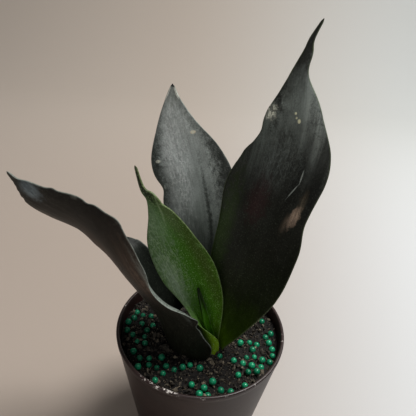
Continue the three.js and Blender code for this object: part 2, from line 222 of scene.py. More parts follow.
class Material:
    """A material whose nodes are written as expressions."""

    def __init__(self, name):
        self.material = bpy.data.materials.new(name)
        self.material.use_nodes = True
        self.tree = self.material.node_tree
        self.shader = self.tree.nodes["Principled BSDF"]

    def set(self, node, sockets):
        for key, value in sockets.items():
            if isinstance(key, int):
                socket = node.inputs[key]
            else:
                socket = next(s for s in node.inputs if key in (s.identifier, s.name))
            if isinstance(value, Value):
                self.tree.links.new(value.socket, socket)
            else:
                socket.default_value = paint(value) if isinstance(value, str) else value

    def add(self, kind, settings, sockets, output=0):
        node = self.tree.nodes.new("ShaderNode" + kind)
        for key, value in settings.items():
            if key == "stops":
                elements = node.color_ramp.elements
                while len(elements) < len(value):
                    elements.new(1.0)
                for element, (position, colour) in zip(elements, value):
                    element.position = position
                    element.color = colour
            else:
                setattr(node, key, value)
        self.set(node, sockets)
        return Value(self, node.outputs[output])

    def mix(self, amount, first, second):
        """first where amount is 0, second where it is 1: colours, or six-digit codes of them."""
        sockets = {"Factor_Float": amount, "A_Color": first, "B_Color": second}
        return self.add("Mix", {"data_type": "RGBA", "clamp_factor": True}, sockets, "Result")

    def step(self, value, low, high):
        """A smooth step of a value, from 0 at low to 1 at high."""
        sockets = {"Value": value, "From Min": low, "From Max": high}
        return self.add("MapRange", {"interpolation_type": "SMOOTHSTEP"}, sockets)

    def noise(self, vector, scale, detail, roughness=0.5):
        """Cloudy noise from 0 to 1, with scale lumps in each unit of the vector."""
        sockets = {"Vector": vector, "Scale": scale, "Detail": detail, "Roughness": roughness}
        return self.add("TexNoise", {}, sockets)

    def stretched(self, vector, factors):
        return self.add("Mapping", {}, {"Vector": vector, "Scale": factors})

    def attribute(self, name, output="Fac"):
        return self.add("Attribute", {"attribute_name": name}, {}, output)

    def place(self):
        """The place on the object, in metres."""
        return self.add("TexCoord", {}, {}, "Object")

    def bump(self, height, strength, distance):
        sockets = {"Height": height, "Strength": strength, "Distance": distance}
        return self.add("Bump", {}, sockets)

    def finish(self, **sockets):
        """Sets the shader's sockets, with spaces in their names written as underscores."""
        self.set(self.shader, {key.replace("_", " "): value for key, value in sockets.items()})
        return self.material


def paint(code):
    """A colour from a six-digit web code, turned from display values to linear light."""
    parts = np.array([int(code[k:k + 2], 16) for k in (0, 2, 4)]) / 255
    linear = np.where(parts <= 0.04045, parts / 12.92, ((parts + 0.055) / 1.055) ** 2.4)
    return (*linear.tolist(), 1.0)


def dress(piece, material):
    """Gives a piece or a node its only material."""
    piece.data.materials.clear()
    piece.data.materials.append(material)


# %% [markdown]
# ## The pot
# The real pot is a thin tapered cup blown or moulded from dark plastic, with a thickened lip
# and six drain holes. A profile turned about the axis gives the walls. The floor can't be
# turned, because of its holes, so each sixth of it is a wedge whose points lie on straight
# lines from the hole's edge to the wedge's edge: two parameters again, round and outwards.

# %% Pot profile
FOOT_ROUND = 0.9  # radius of the small arc between floor and wall
LIP_ROUND = LIP_THICKNESS * 0.42
LIP_SLOPE = 0.7  # height over which the wall widens into the lip
WALL_STEPS = 60
DRAIN_COUNT = 6
DRAIN_RADIUS = 3.5
DRAIN_REACH = BASE_RADIUS - 8.0
ARC_STEPS = 36
SPOKE_STEPS = 12
WEDGE = 2 * math.pi / DRAIN_COUNT


def arc(centre, radius, start, end, steps):
    """Points of a circular arc in the profile's plane, angles in degrees."""
    angle = np.radians(np.linspace(start, end, steps))
    return np.stack([centre[0] + radius * np.cos(angle), centre[1] + radius * np.sin(angle)], -1)


def outer_radius(z):
    """The pot's outside at height z, a straight taper from base to rim."""
    return BASE_RADIUS + (RIM_RADIUS - BASE_RADIUS) * z / POT_HEIGHT


def pot_profile():
    """The pot's section from the outside of its floor, up the outside, over the lip and down
    the inside: straight runs joined by small arcs."""
    lip_foot = POT_HEIGHT - LIP_HEIGHT
    rise = np.linspace(FOOT_ROUND, lip_foot - LIP_SLOPE, WALL_STEPS)
    fall = np.linspace(lip_foot - LIP_THICKNESS, POT_FLOOR + FOOT_ROUND, WALL_STEPS)
    inner_foot = outer_radius(POT_FLOOR) - POT_WALL
    inner_lip = RIM_RADIUS - LIP_THICKNESS
    lip_corner_outside = [[RIM_RADIUS - 0.12, lip_foot - 0.15]]
    lip_corner_inside = [[inner_lip, lip_foot + 0.3]]
    return np.vstack([
        arc((BASE_RADIUS - FOOT_ROUND, FOOT_ROUND), FOOT_ROUND, -90, -8, 7),
        np.stack([outer_radius(rise), rise], -1)[1:],
        lip_corner_outside,
        arc((RIM_RADIUS - LIP_ROUND, POT_HEIGHT - LIP_ROUND), LIP_ROUND, 0, 90, 8),
        arc((inner_lip + LIP_ROUND, POT_HEIGHT - LIP_ROUND), LIP_ROUND, 90, 180, 8),
        lip_corner_inside,
        np.stack([outer_radius(fall) - POT_WALL, fall], -1),
        arc((inner_foot - FOOT_ROUND, POT_FLOOR + FOOT_ROUND), FOOT_ROUND, 0, -90, 6)[1:],
    ])


profile = pot_profile()
print("profile points:", len(profile), "highest", round(profile[:, 1].max(), 2))


# %% Pot surfaces
def wedge_edge(radius):
    """The outline of one wedge of a disc, from its point out along one side, round the arc and
    back along the other side, as (n, 2) points about the wedge's middle line."""
    out = np.linspace(0, 1, SPOKE_STEPS, endpoint=False)
    turn = np.linspace(-WEDGE / 2, WEDGE / 2, ARC_STEPS, endpoint=False)
    low, high = [np.array([math.cos(a), math.sin(a)]) for a in (-WEDGE / 2, WEDGE / 2)]
    return np.vstack([
        radius * out[:, None] * low,
        radius * np.stack([np.cos(turn), np.sin(turn)], -1),
        radius * (1 - out[:, None]) * high,
    ])


def holed_wedge(radius, z, steps=7):
    """Points on the straight lines from a drain hole's edge out to the wedge's edge."""
    edge = wedge_edge(radius)
    middle = np.array([DRAIN_REACH, 0])
    hole = middle + DRAIN_RADIUS * unit(edge - middle)
    share = np.linspace(0, 1, steps)[:, None, None]
    flat = hole + (edge - hole) * share
    return np.concatenate([flat, np.full(flat.shape[:2] + (1,), z)], -1)


def turned_about_z(points, angle):
    """Points turned about the pot's axis by an angle in radians."""
    c, s = math.cos(angle), math.sin(angle)
    x, y = points[..., 0] * c - points[..., 1] * s, points[..., 0] * s + points[..., 1] * c
    return np.stack([x, y, points[..., 2]], -1)


def pot_mesh():
    """The walls, turned about the axis, with the floor's two holed faces and the holes' walls.
    The parts share their edge points, which are merged afterwards."""
    angle = np.arange(DRAIN_COUNT * ARC_STEPS) * WEDGE / ARC_STEPS
    ring = np.stack([np.cos(angle), np.sin(angle)], -1)
    walls = np.concatenate([
        profile[:, 0, None, None] * ring,
        np.broadcast_to(profile[:, 1, None, None], (len(profile), len(ring), 1)),
    ], -1)
    points, faces = [walls.reshape(-1, 3)], [grid_quads(len(profile), len(ring), True)]
    count = len(points[0])
    for k in range(DRAIN_COUNT):
        under = turned_about_z(holed_wedge(profile[0, 0], 0.0), (k + 0.5) * WEDGE)
        above = turned_about_z(holed_wedge(profile[-1, 0], POT_FLOOR), (k + 0.5) * WEDGE)
        bore = np.stack([above[0], under[0]])
        for sheet, flip in ((under, True), (above, False), (bore, True)):
            rows, columns = sheet.shape[:2]
            quads = grid_quads(rows, columns, True) + count
            faces.append(quads[:, ::-1] if flip else quads)
            points.append(sheet.reshape(-1, 3))
            count += rows * columns
    return np.vstack(points), [np.vstack(faces)[:, ::-1]]


def weld(piece, distance=1e-6):
    """Merges points that lie in the same place, as a seam's do, and turns all faces outwards."""
    work = bmesh.new()
    work.from_mesh(piece.data)
    bmesh.ops.remove_doubles(work, verts=work.verts, dist=distance)
    bmesh.ops.dissolve_degenerate(work, edges=work.edges, dist=distance)
    bmesh.ops.recalc_face_normals(work, faces=work.faces)
    open_edges = sum(not edge.is_manifold for edge in work.edges)
    work.to_mesh(piece.data)
    work.free()
    print(piece.name, "welded, open edges:", open_edges)


pot = make_object("pot_shell", *pot_mesh())
weld(pot)
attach(pot, "root")
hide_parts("pot")

# %% [markdown]
# The plastic is charcoal with a warm brown cast and a satin surface. Handling leaves it dusty
# and leaves pale scuffs along the lip, so colour and roughness both follow fine noise, and
# the scuffs show only near the rim's height.

# %% Pot plastic
def pot_plastic():
    m = Material("charcoal_plastic")
    place = m.place()
    x = m.add("SeparateXYZ", {}, {"Vector": place}, "X")
    y, z = x.output("Y"), x.output("Z")
    cloud = m.noise(place, 45, 4)
    grain = m.noise(place, 2600, 2)
    scratch = m.noise(m.stretched(place, (90, 90, 1400)), 1, 3)
    near_lip = m.step(z, (POT_HEIGHT - 3.2) * MM, (POT_HEIGHT - 1.2) * MM)
    chips = m.step(m.noise(place, 420, 5, 0.65), 0.62, 0.72) * near_lip
    dust = m.step(m.noise(place, 900, 3, 0.6), 0.58, 0.8) * 0.25
    colour = m.mix(m.step(cloud, 0.3, 0.7), "201210", "2E1C19")
    colour = m.mix(near_lip * 0.12, colour, "5A4C49")
    colour = m.mix(dust, colour, "6E625E")
    colour = m.mix(chips * 0.8, colour, "C9C4BE")
    on_left = m.step(x, -28 * MM, -23 * MM) * (1 - m.step(x, -11 * MM, -6 * MM))
    in_front = 1 - m.step(y, -30 * MM, -20 * MM)
    on_top = m.step(z, (POT_HEIGHT - 1.5) * MM, (POT_HEIGHT - 0.6) * MM)
    wear_and_highlight = m.step(m.noise(place, 620, 4, 0.7), 0.52, 0.6)
    colour = m.mix(on_left * in_front * on_top * wear_and_highlight * 0.9, colour, "E4DED8")
    rough = cloud * 0.12 + scratch * 0.08 + chips * 0.25 + 0.3
    height = grain * 0.4 + scratch * 0.6
    normal = m.bump(height, 0.18, 0.00012)
    return m.finish(Base_Color=colour, Roughness=rough, Normal=normal, IOR=1.49)


dress(pot, pot_plastic())

# %% [markdown]
# ## The soil
# Peat potting soil is a dark mass of crumbs, bark and fibres. The body of it is a closed
# surface: a heightfield on rings and spokes, with its edge carried down inside the pot. On
# top of that lie separate crumbs and fibres, each with very few faces, because there are
# thousands of them and only their edges and shadows are seen.

# %% Soil body
SOIL_SWELL = 0.7
SOIL_GAP = 0.3
SOIL_EDGE = outer_radius(SOIL_LEVEL) - POT_WALL
SIDE_STEPS = 12


def soil_swell(x, y):
    """The designed soil surface: low swells across the pot."""
    swell = 0.5 * np.sin(x / 7 + 1.3) * np.cos(y / 9)
    swell = swell + 0.3 * np.sin(x / 4.1 - y / 5.3) + 0.2 * np.cos(y / 3.7 + x / 8)
    return SOIL_LEVEL + SOIL_SWELL * swell


def crumbs_height(x, y):
    """Lumps from 6 mm down to half a millimetre, added with their sizes' own heights."""
    big = layered(x / 3.1, y / 3.1, 3, 2)
    small = np.abs(layered(x / 1.3 + 7, y / 1.3, 11, 3))
    return 0.5 * big + 1.25 * (0.4 - small)


def soil_height(x, y):
    """The finished surface, a little lower where it meets the wall."""
    dip = 0.5 * ease(np.hypot(x, y), SOIL_EDGE - 3, SOIL_EDGE)
    return soil_swell(x, y) + crumbs_height(x, y) - dip


def soil_mesh(rings=120, spokes=420):
    """Rings of the heightfield from the middle outwards, then down the wall to the floor."""
    radius = (SOIL_EDGE - 0.05) * np.linspace(0, 1, rings + 1)[1:] ** 0.8
    angle = turns(spokes)
    x, y = radius[:, None] * np.cos(angle), radius[:, None] * np.sin(angle)
    top = np.stack([x, y, soil_height(x, y)], -1)
    bottom = POT_FLOOR + SOIL_GAP
    depth = np.linspace(SOIL_LEVEL - 2, bottom, SIDE_STEPS)[:, None]
    side_r = outer_radius(depth) - POT_WALL - SOIL_GAP
    side = np.stack([side_r * np.cos(angle), side_r * np.sin(angle), depth + 0 * angle], -1)
    sheet = np.concatenate([top, side])
    points = np.vstack([sheet.reshape(-1, 3), [0, 0, soil_height(0.0, 0.0)], [0, 0, bottom]])
    return points, closed_tube(len(sheet), spokes, mirrored=True)


soil = make_object("soil_bed", *soil_mesh())
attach(soil, "root")
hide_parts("soil")


# %% Crumbs and fibres
def many(shape, faces, spots, frames):
    """Copies of one small shape, each with its own points. shape is (n, m, 3): n copies of m
    points; frames is (n, 3, 3), the axes that each copy's x, y and z are laid along."""
    count, size = shape.shape[:2]
    points = np.einsum("nmk,nkl->nml", shape, frames) + spots[:, None]
    shifts = np.arange(count)[:, None, None] * size
    return points.reshape(-1, 3), [(part[None] + shifts).reshape(-1, part.shape[1]) for part in faces]


def random_frames(rng, count, tilt):
    """Axes turned anywhere about Z, with the first axis tilted by up to tilt radians."""
    turn, lean = rng.uniform(0, 2 * math.pi, count), rng.uniform(-tilt, tilt, count)
    first = np.stack([np.cos(turn) * np.cos(lean), np.sin(turn) * np.cos(lean), np.sin(lean)], -1)
    second = np.stack([-np.sin(turn), np.cos(turn), np.zeros(count)], -1)
    return np.stack([first, second, np.cross(first, second)], 1)


def ball_grid(around, down):
    """Unit directions on rings between two poles, with the faces that join them."""
    polar = np.linspace(0, math.pi, down + 1)[1:-1, None]
    turn = turns(around)
    x, y = np.sin(polar) * np.cos(turn), np.sin(polar) * np.sin(turn)
    rings = np.stack([x, y, np.cos(polar) + 0 * turn], -1)
    points = np.vstack([rings.reshape(-1, 3), [0, 0, 1], [0, 0, -1]])
    return points, closed_tube(down - 1, around, mirrored=True)


def scatter(rng, count, reach):
    """Places on the soil, even over its area, at the soil's own height."""
    r, turn = reach * np.sqrt(rng.uniform(0, 1, count)), rng.uniform(0, 2 * math.pi, count)
    x, y = r * np.cos(turn), r * np.sin(turn)
    return np.stack([x, y, soil_height(x, y)], -1)


SOIL_REACH = SOIL_EDGE - 1.0
rng = np.random.default_rng(21)


def crumbs_mesh(count=3600):
    """Small spheres with each point pushed in or out, then squashed and turned."""
    directions, faces = ball_grid(6, 4)
    size = rng.gamma(3.0, 0.22, count).clip(0.25, 2.2)
    shape = directions[None] * rng.uniform(0.45, 1.3, (count, len(directions), 1))
    shape = shape * (size[:, None] * rng.uniform([0.6, 0.4, 0.4], [1.5, 0.8, 0.9], (count, 3)))[:, None]
    spots = scatter(rng, count, SOIL_REACH)
    spots[:, 2] += size * rng.uniform(0, 0.45, count)
    points, faces = many(shape, faces, spots, random_frames(rng, count, 1.1))
    tone = np.repeat(rng.uniform(0, 1, count), len(directions))
    return points, faces, {"tone": tone}


def fibres_mesh(count=420, steps=5, sides=3):
    """Bent three-sided rods: a ring carried along an arc, closed by a point at each end."""
    length = rng.gamma(3.0, 0.95, count).clip(1.2, 8.5)
    thick = rng.uniform(0.09, 0.26, count)
    along = np.linspace(-0.5, 0.5, steps)[None, :, None]
    around = turns(sides)[None, None]
    taper = (1 - (2 * along) ** 4 * 0.6) * thick[:, None, None]
    bend = rng.uniform(-0.25, 0.25, count)[:, None, None] * length[:, None, None]
    x = along * length[:, None, None] + 0 * around
    y = bend * (4 * along**2 - 1) + taper * np.cos(around)
    z = 0.12 * bend * (4 * along**2 - 1) + taper * np.sin(around)
    rods = np.stack([x, y, z], -1).reshape(count, -1, 3)
    ends = np.zeros((count, 2, 3))
    ends[:, :, 0] = np.array([-0.53, 0.53]) * length[:, None]
    shape = np.concatenate([rods, ends], 1)
    spots = scatter(rng, count, SOIL_REACH)
    spots[:, 2] += thick + 0.15
    frames = random_frames(rng, count, 0.35)
    points, faces = many(shape, closed_tube(steps, sides), spots, frames)
    return points, faces, {"tone": np.repeat(rng.uniform(0, 1, count), shape.shape[1])}


crumbs = make_object("soil_crumbs", *crumbs_mesh(), smooth=False)
fibres = make_object("peat_fibres", *fibres_mesh())
for piece in (crumbs, fibres):
    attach(piece, "root")


# %% Soil finish
def soil_finish(name, dark, light, tone=None):
    """Matt earth colours that change from lump to lump and over each lump."""
    m = Material(name)
    place = m.place()
    lumps = m.noise(place, 700, 4, 0.65)
    fleck = m.step(m.noise(place, 1700, 3, 0.6), 0.6, 0.75)
    amount = m.step(lumps, 0.35, 0.7) * 0.7 + fleck * 0.3
    if tone:
        amount = amount * 0.35 + m.attribute(tone).math("POWER", 3.0)
    normal = m.bump(m.noise(place, 2400, 3, 0.6), 0.6, 0.0003)
    colour = m.mix(amount.clipped(), dark, light)
    return m.finish(Base_Color=colour, Roughness=lumps * 0.2 + 0.75, Normal=normal)


dress(soil, soil_finish("damp_peat", "050403", "211913"))
dress(crumbs, soil_finish("peat_crumb", "090706", "7C7262", "tone"))
dress(fibres, soil_finish("peat_fibre", "150F0B", "6B5A48", "tone"))

# %% [markdown]
# ## The fertiliser balls
# Slow-release fertiliser comes as coated balls, a little unlike each other in size and
# roundness, and half of them sink into the crumbs. The frame holds those that lie in the
# open. More lie behind the leaves, on spots found by trying random ones and keeping those
# that are clear of the rest. One piece holds them all, with a tone for each ball.

# %% Balls
BALL_RADIUS = 1.8
BALL_COUNT = 84
# x, y and the radius around it that stays clear of balls
LEAF_FEET = [(-8, 11, 7), (4, -8, 9), (-9, -13, 15), (9, -5, 9), (3, 4, 9), (-14, -8, 12)]


def ball_spots():
    """The frame's own balls, then random places clear of them and of the leaves' feet."""
    boxes = [node_box(name) for name in balls]
    spots = [(low + high)[:2] / 2 for low, high in boxes]
    picker = np.random.default_rng(5)
    for x, y in picker.uniform(-38, 38, (400, 2)):
        clear = all(math.hypot(x - a, y - b) > 2.4 * BALL_RADIUS for a, b in spots)
        clear = clear and all(math.hypot(x - a, y - b) > r for a, b, r in LEAF_FEET)
        clear = clear and math.hypot(x, y) < SOIL_REACH - BALL_RADIUS
        behind = y > 4 or x < -28
        if clear and behind and len(spots) < BALL_COUNT:
            spots.append(np.array([x, y]))
    return np.array(spots)


def balls_mesh(around=18, down=11):
    """Spheres with a low wave over each, so that none is quite round."""
    spots = ball_spots()
    picker = np.random.default_rng(9)
    count = len(spots)
    directions, faces = ball_grid(around, down)
    size = BALL_RADIUS * picker.uniform(0.78, 1.0, count)
    wave = np.sin(directions[None] * 2.3 + picker.uniform(0, 6, (count, 1, 3))).sum(-1, keepdims=True)
    shape = directions[None] * (1 + 0.018 * wave) * size[:, None, None]
    sunk = picker.uniform(-0.1, 0.75, count)
    height = soil_swell(spots[:, 0], spots[:, 1]) + size * sunk + 0.35
    centres = np.column_stack([spots, height])
    points, faces = many(shape, faces, centres, random_frames(picker, count, 1.0))
    tone = np.repeat(picker.uniform(0, 1, count), len(directions))
    return points, faces, {"tone": tone}


prills = make_object("fertiliser_balls", *balls_mesh())
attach(prills, "root")
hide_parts(*balls)


def ball_coating():
    """Green resin over a pale core: each ball its own shade, with soil smeared on."""
    m = Material("green_resin")
    place = m.place()
    shade = m.attribute("tone")
    colour = m.mix(shade, "0A6B4C", "1E9A6E")
    smear = m.step(m.noise(place, 620, 4, 0.6), 0.56, 0.72)
    colour = m.mix(smear * 0.75, colour, "0F3023")
    height = m.noise(place, 1500, 2)
    rough = smear * 0.3 + 0.3
    return m.finish(Base_Color=colour, Roughness=rough, Normal=m.bump(height, 0.25, 0.0002))


dress(prills, ball_coating())

# %% [markdown]
# ## The leaves
# A snake plant's leaf is one thick sheet: narrow and folded where it leaves the crown, broad
# and nearly flat above, and drawn to a point. Each leaf is designed as a few cross-sections.
# A row says where the midrib is, which way the upper face looks, how wide each half is and
# how far it curls. A smooth curve through the rows gives the section at any point along the
# leaf, and an arc of a circle gives each half of it, so the whole leaf is one formula.

# %% Leaf cross-sections
# x, y, z of the midrib from the crown; azimuth and elevation of the upper face; left and
# right half-widths; left and right curl in degrees
LEFT_LEAF = [
    [-12, -3, -10, 150, -5, 10, 14, 45, 75],
    [-14, -6.5, 1, 148, -5, 17.5, 18, 45, 85],
    [-18, -7, 12, 142, 3, 20.5, 29, 38, 118],
    [-24.6, -5, 24.5, 132, 10, 18, 30, 36, 120],
    [-34, -4, 37.5, 125, 15, 18, 26, 33, 98],
    [-43.6, -4, 51.3, 125, 16, 20.5, 25.5, 39, 80],
    [-52.8, -1.6, 62.3, 140, 16, 20, 22.5, 31, 54],
    [-64.2, 4.2, 69.4, 148, 18, 17, 18, 17, 29],
    [-77, 6, 74.5, 153, 17, 12.5, 13.8, 16, 15],
    [-87, 7, 80, 161, 9, 7.5, 7, 10, 8],
    [-93, 9.5, 84, 164, 2, 2.5, 1.5, 10, 10],
    [-96.5, 10, 88.5, 165, 0, 0.5, 0.5, 10, 10],
]
BACK_LEAF = [
    [1, 9, -10, -4, 15, 5, 5, 45, 45],
    [-0.5, 11, 2, -4, 15, 7, 7, 42, 42],
    [-3.5, 16, 19, -5, 15, 12, 11.5, 33, 33],
    [-6, 23, 38, -9, 13, 15, 17, 25, 25],
    [-8.5, 29.5, 58, -14, 11, 17.5, 20, 17, 17],
    [-13, 35.5, 76, -18, 9, 20.5, 23.5, 10, 14],
    [-18.5, 38.5, 92.5, -16, 9, 19.5, 19, 10, 12],
    [-23.5, 40, 107, -14, 9, 11, 10, 10, 12],
    [-26, 40.5, 117.5, -10, 9, 4.5, 4.5, 10, 10],
    [-26.5, 40, 126, -5, 10, 0.5, 0.5, 10, 10],
]
RIGHT_LEAF = [
    [5, 3, -10, -45, 15, 4.5, 4.5, 60, 60],
    [7, 2.5, 2, -42, 15, 5, 6, 55, 55],
    [11.5, 3, 18, -36, 15, 9.5, 11.5, 44, 44],
    [16, 5, 42, -28, 15, 19, 19.5, 34, 34],
    [20, 9, 65, -28, 15, 21, 22, 24, 28],
    [24, 11.5, 87, -30, 11, 23.3, 20.3, 19, 25],
    [27.5, 13, 107, -28, 7, 16.7, 19.5, 14, 20],
    [28, 13.5, 125, -25, 8, 12, 11, 14, 18],
    [27, 14.5, 139, -18, 10, 4.5, 3.5, 15, 15],
    [28, 15, 148, -16, 10, 1.6, 2.5, 15, 15],
    [29, 15, 153, -16, 10, 1, 1.2, 15, 15],
    [32, 15, 160, -16, 10, 0.5, 0.5, 15, 15],
]
YOUNG_LEAF = [
    [0.5, 1, -8, 35, 10, 11, 5.2, 180, 95],
    [0.5, 1.5, 6, 29, 15, 14.7, 6.3, 210, 95],
    [-3.5, 5, 26, 3, 19, 11, 11, 66, 51],
    [-12.5, 6.5, 46.5, -13, 18, 15, 15.5, 42, 36],
    [-20.5, 7, 62.5, -21, 16, 13.5, 13.5, 32, 31],
    [-27, 7, 75.5, -22, 16, 6, 8, 25, 27],
    [-31, 5, 83.5, -24, 18, 2, 4, 25, 27],
    [-34.5, 5.5, 88, -18, 20, 1.2, 1.1, 20, 20],
    [-38, 7, 98, -12, 20, 0.5, 0.5, 20, 20],
]
SPEAR_LEAF = [
    [2.5, -1.5, -6, 20, 10, 1.8, 1.8, 80, 80],
    [2, -1.5, 6, 15, 15, 2.2, 2.2, 80, 80],
    [-0.8, -1, 17, 0, 18, 2.3, 2.3, 70, 70],
    [-3.2, 0, 26, -8, 18, 1.8, 1.8, 60, 60],
    [-5.5, 0.8, 33, -10, 18, 1.1, 1.1, 50, 50],
    [-7, 1.3, 38, -10, 18, 0.4, 0.4, 40, 40],
]
print("sections of the tallest leaf:", len(RIGHT_LEAF))


# %% Leaf surface
def curve_through(rows, t):
    """The rows' values at each t from 0 to 1: between two rows, the cubic whose slopes are
    half the difference of the rows on either side, with the ends carried on by reflection."""
    rows = np.asarray(rows, float)
    last = len(rows) - 1
    padded = np.vstack([2 * rows[0] - rows[1], rows, 2 * rows[-1] - rows[-2]])
    i = np.minimum((t * last).astype(int), last - 1)
    w = (t * last - i)[:, None]
    a, b, c, d = (padded[i + k] for k in range(4))
    slope_b, slope_c = (c - a) / 2, (d - b) / 2
    cubic = 2 * b - 2 * c + slope_b + slope_c
    square = 3 * c - 3 * b - 2 * slope_b - slope_c
    return (cubic * w + square) * w * w + slope_b * w + b


def margin_wobble(t, side, seed, nicks):
    """How far each margin strays from the designed width: two waves, less a dip at each nick,
    which is (side, t, length, depth)."""
    factor = 1 + 0.01 * noise(t * 11, side * 5.0, seed) + 0.005 * noise(t * 47, side * 9.0, seed)
    for nick_side, at, length, depth in nicks:
        factor = factor - depth * np.exp(-(((t - at) / length) ** 2)) * (side == nick_side)
    return factor


def rolled(edge_distance, t, v, start, end, width, height):
    """How far a margin on the left is rolled back: a parabola of the distance from the edge,
    fading in and out between start and end along the leaf."""
    fade = ease(t, start, start + 0.05) * (1 - ease(t, end - 0.05, end))
    return height * np.clip(1 - edge_distance / width, 0, 1) ** 2 * fade[:, None] * (v < 0)


EDGE_THICKNESS = 0.9
TIP_THICKNESS = 0.8
BASE_SWELL = 0.15  # how much thicker the base is than the blade, as a share of it
TIP_START = 0.975  # how far along the leaf its tip starts to close
EDGE_POWER = 26  # the higher, the closer to the edge the two faces start to meet


def leaf_mesh(stations, seed, thickness=2.6, nicks=(), roll=None, ripple=0.35, rows=230, columns=48):
    """The closed skin of a leaf. At t along it and v across it, from -1 to 1, the middle of the
    sheet lies on an arc from the midrib. The two faces stand half the thickness to each side
    of it along the arc's normal, and meet in a rounded margin."""
    t = np.linspace(0, 1, rows)
    section = curve_through(stations, t)
    centre = CROWN + section[:, :3]
    step = 1e-3
    ahead = curve_through(stations, np.minimum(t + step, 1))[:, :3]
    behind = curve_through(stations, np.maximum(t - step, 0))[:, :3]
    along = unit(ahead - behind)
    azimuth, elevation = np.radians(section[:, 3]), np.radians(section[:, 4])
    flat = np.cos(elevation)
    face = np.stack([np.sin(azimuth) * flat, -np.cos(azimuth) * flat, np.sin(elevation)], -1)
    face = unit(face - (face * along).sum(-1, keepdims=True) * along)
    right = np.cross(along, face)

    v = np.sin(np.linspace(-1, 1, columns + 1) * math.pi / 2)
    side = np.where(v < 0, -1.0, 1.0)
    half = np.where(v < 0, section[:, 5:6], section[:, 6:7]).clip(0.4)
    curl = np.radians(np.where(v < 0, section[:, 7:8], section[:, 8:9]))
    close = np.sqrt(1 - ease(t, TIP_START, 1) ** 2)[:, None]
    wobble = margin_wobble(t[:, None], side[None], seed, nicks)
    curvature = curl / half
    run = np.abs(v) * half * wobble * (0.25 + 0.75 * close)
    turn = run * curvature
    middle = centre[:, None] + right[:, None] * (side * np.sin(turn) / curvature)[..., None]
    middle = middle + face[:, None] * ((1 - np.cos(turn)) / curvature)[..., None]
    normal = face[:, None] * np.cos(turn)[..., None] - right[:, None] * (side * np.sin(turn))[..., None]

    length = np.concatenate([[0], np.cumsum(np.linalg.norm(np.diff(centre, axis=0), axis=1))])
    length = length - np.interp(SOIL_LEVEL, centre[:, 2], length)
    across = side * run
    edge_distance = half * wobble - run
    if roll:
        middle = middle - normal * rolled(edge_distance, t, v, *roll)[..., None]
    swell = ripple * noise(across / 9 + 3, length[:, None] / 17, seed + 1) * ease(t[:, None], 0.1, 0.3)
    fluting = 0.06 * noise(across / 1.1, length[:, None] / 60, seed + 2)
    middle = middle + normal * (swell * close)[..., None]

    base = 1 + BASE_SWELL - BASE_SWELL * ease(t, 0, 0.3)
    tip = ease(t, 0.6, 1)
    rib = thickness * base * (1 - tip) + TIP_THICKNESS * tip
    edge = np.minimum(EDGE_THICKNESS, rib)
    full = edge[:, None] + (rib - edge)[:, None] * (1 - v * v)
    rounded = np.sqrt(np.clip(1 - np.abs(v) ** EDGE_POWER, 0, 1))
    lift = full * rounded * (0.15 + 0.85 * close) / 2
    ribbed = fluting * rounded * close
    upper = middle + normal * (lift + ribbed)[..., None]
    lower = (middle - normal * (lift - ribbed)[..., None])[:, -2:0:-1]
    rings = np.concatenate([upper, lower], 1)
    size = rings.shape[1]

    def ringed(values):
        """A value for each point of the rings and then for the two poles."""
        values = np.broadcast_to(values, (rows, columns + 1))
        both = np.concatenate([values, values[:, -2:0:-1]], 1)
        return np.concatenate([both.ravel(), [both[0].mean(), both[-1].mean()]])

    poles = [rings[0].mean(0), rings[-1].mean(0) + along[-1] * 0.15]
    points = np.vstack([rings.reshape(-1, 3), poles])
    place = np.stack([ringed(across), ringed(length[:, None]), ringed(edge_distance)], -1)
    is_upper = np.zeros((rows, size))
    is_upper[:, :columns + 1] = 1
    is_upper = np.append(is_upper, [0.5, 0.5])
    return points, closed_tube(rows, size), {"leaf_place": place, "upper": is_upper}


LEAVES = {
    "leaf_left": dict(
        stations=LEFT_LEAF, seed=31, roll=(0.2, 0.45, 4.5, 3.2),
        nicks=[
            (-1, 0.272, 0.034, -0.2), (-1, 0.25, 0.014, -0.12), (-1, 0.175, 0.045, 0.07),
            (1, 0.2, 0.05, -0.15), (1, 0.69, 0.03, 0.08), (1, 0.92, 0.011, 0.3),
            (1, 0.89, 0.01, 0.22), (1, 0.862, 0.01, 0.2), (1, 0.83, 0.01, 0.16),
            (-1, 0.74, 0.02, -0.09), (-1, 0.62, 0.015, 0.08), (-1, 0.55, 0.015, -0.08),
        ],
    ),
    "leaf_back": dict(stations=BACK_LEAF, seed=47, nicks=[(-1, 0.56, 0.035, 0.12)]),
    "leaf_right": dict(
        stations=RIGHT_LEAF, seed=53,
        nicks=[(-1, 0.58, 0.02, 0.06), (-1, 0.525, 0.02, -0.05), (1, 0.425, 0.03, 0.07),
               (1, 0.585, 0.03, -0.04)],
    ),
    "leaf_young": dict(
        stations=YOUNG_LEAF, thickness=2.2, seed=61, ripple=0.15,
        nicks=[(1, 0.7, 0.015, 0.18), (1, 0.65, 0.015, -0.06)],
    ),
    "leaf_spear": dict(stations=SPEAR_LEAF, thickness=1.1, seed=71, ripple=0, rows=70, columns=16),
}
leaves = {}
for node, design in LEAVES.items():
    points, faces, values = leaf_mesh(**design)
    leaves[node] = make_object(node + "_skin", points, faces, values)
    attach(leaves[node], "root")
    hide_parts(node)
